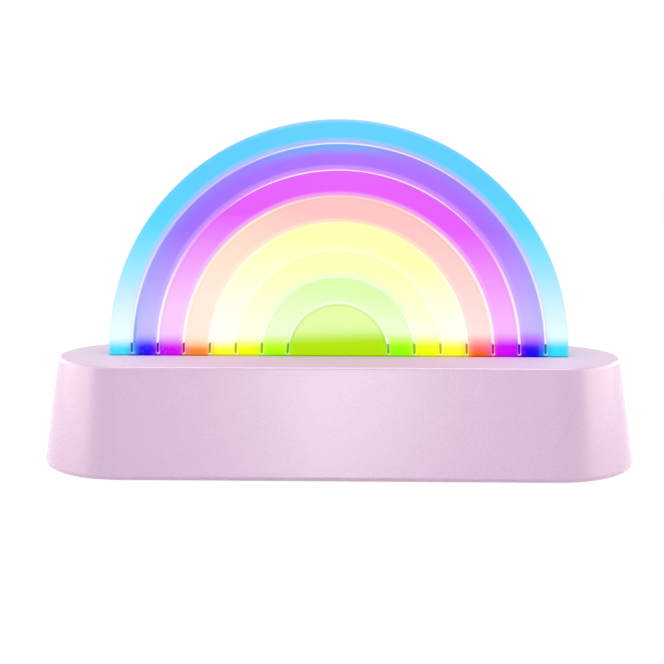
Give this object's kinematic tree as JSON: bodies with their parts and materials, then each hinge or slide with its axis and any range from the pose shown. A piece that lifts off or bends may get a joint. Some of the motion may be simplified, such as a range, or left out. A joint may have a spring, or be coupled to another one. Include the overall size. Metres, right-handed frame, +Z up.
{
  "type": "rainbow lamp",
  "caption": "Free-standing rainbow night lamp: a clear acrylic half disc with arc cuts stands in a long round-ended base, lit in coloured bands from below, with a push button behind.",
  "frame": {"origin": "middle of the lamp on the surface that its feet stand on", "axes": "+X along the base to the right seen from the front, +Y to the back, where the button is, +Z up"},
  "size_m": [0.1996, 0.0596, 0.1156],
  "materials": {
    "base_plastic": "fine matte moulded plastic, pale lavender pink",
    "cover_plastic": "matte moulded plastic, pale lavender pink",
    "button_plastic": "satin moulded plastic, lighter than the base",
    "acrylic": "clear polished acrylic, lit in eight coloured bands",
    "silicone": "white silicone",
    "white_plastic": "white reflecting plastic",
    "white_board": "white solder mask",
    "green_board": "green solder mask",
    "lamp_package": "white lamp package with a clear filling",
    "black_plastic": "black moulded plastic",
    "connector_plastic": "ivory nylon",
    "capacitor_sleeve": "dark blue sleeve",
    "wire_white": "white insulation",
    "wire_red": "red insulation",
    "screw_steel": "zinc plated steel",
    "inlet_steel": "drawn stainless steel",
    "bracket_steel": "folded steel strip",
    "cell_foil": "satin aluminium foil",
    "foam": "black foam tape",
    "foot_rubber": "soft grey rubber"
  },
  "bodies": {
    "lamp": {"base_shell": "base_plastic", "bottom_cover": "cover_plastic", "light_guide": "acrylic", "plate_grips": "silicone", "light_tray": "white_plastic", "tray_screws": "screw_steel", "led_board": "white_board", "leds": "lamp_package", "led_resistors": "black_plastic", "led_board_screws": "screw_steel", "led_sockets": "connector_plastic", "led_plugs": "connector_plastic", "led_wires": "wire_white", "control_board": "green_board", "control_chip": "black_plastic", "charger_chip": "black_plastic", "board_capacitors": "capacitor_sleeve", "control_board_screws": "screw_steel", "usb_shell": "inlet_steel", "usb_tongue": "black_plastic", "switch_body": "black_plastic", "battery_socket": "connector_plastic", "battery_plug": "connector_plastic", "battery_wires": "wire_red", "battery": "cell_foil", "battery_pad": "foam", "battery_bracket": "bracket_steel", "bracket_screws": "screw_steel", "cover_screws": "screw_steel", "rubber_feet": "foot_rubber"},
    "button": {"power_button": "button_plastic", "switch_plunger": "white_plastic"}
  },
  "joints": [
    {"name": "button_press", "type": "slide", "parent": "lamp", "child": "button", "axis": [0, -1, 0], "range_m": [0, 0.0008], "stiffness_N_per_m": 1800}
  ]
}
